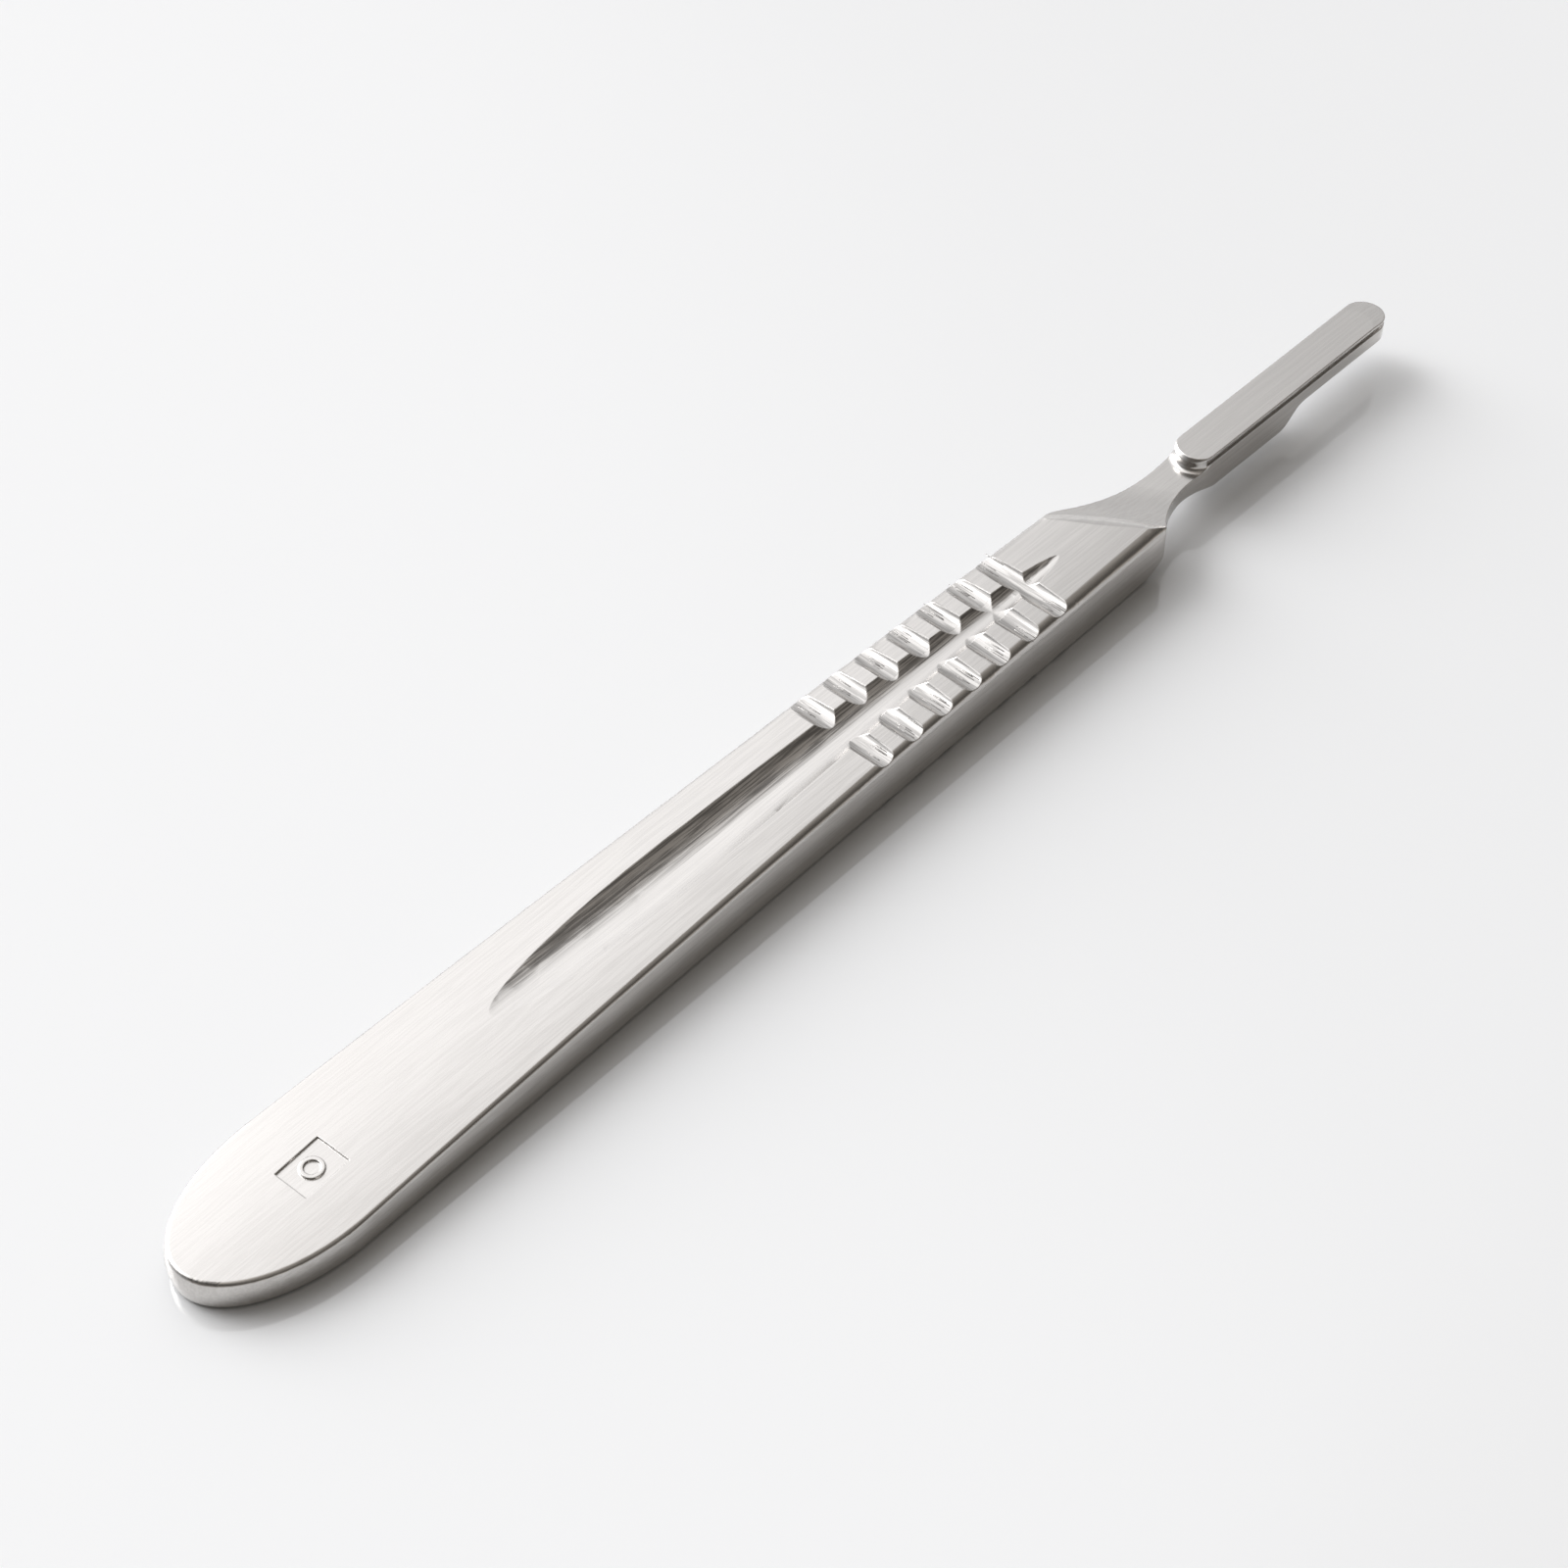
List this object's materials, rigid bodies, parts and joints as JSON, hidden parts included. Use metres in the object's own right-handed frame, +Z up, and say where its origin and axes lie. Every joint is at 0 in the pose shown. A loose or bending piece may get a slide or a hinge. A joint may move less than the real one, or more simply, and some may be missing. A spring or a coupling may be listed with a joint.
{
  "type": "scalpel handle",
  "caption": "Flat tapered steel handle for surgical blades, with a crowned, grooved finger grip, a waisted neck and a slotted boss that the blade slides onto.",
  "frame": {"origin": "centre of the outline's box, on the flat underside", "axes": "+X lengthwise from the round tail to the blade fitting, +Y to the side where the neck shoulder starts nearer the tail, +Z up through the thickness"},
  "size_m": [0.137, 0.0128, 0.0052],
  "materials": {
    "handle_steel": "satin ground lengthwise, scoops milled across, sides polished"
  },
  "bodies": {
    "root": {"scalpel_handle": "handle_steel"}
  },
  "joints": []
}
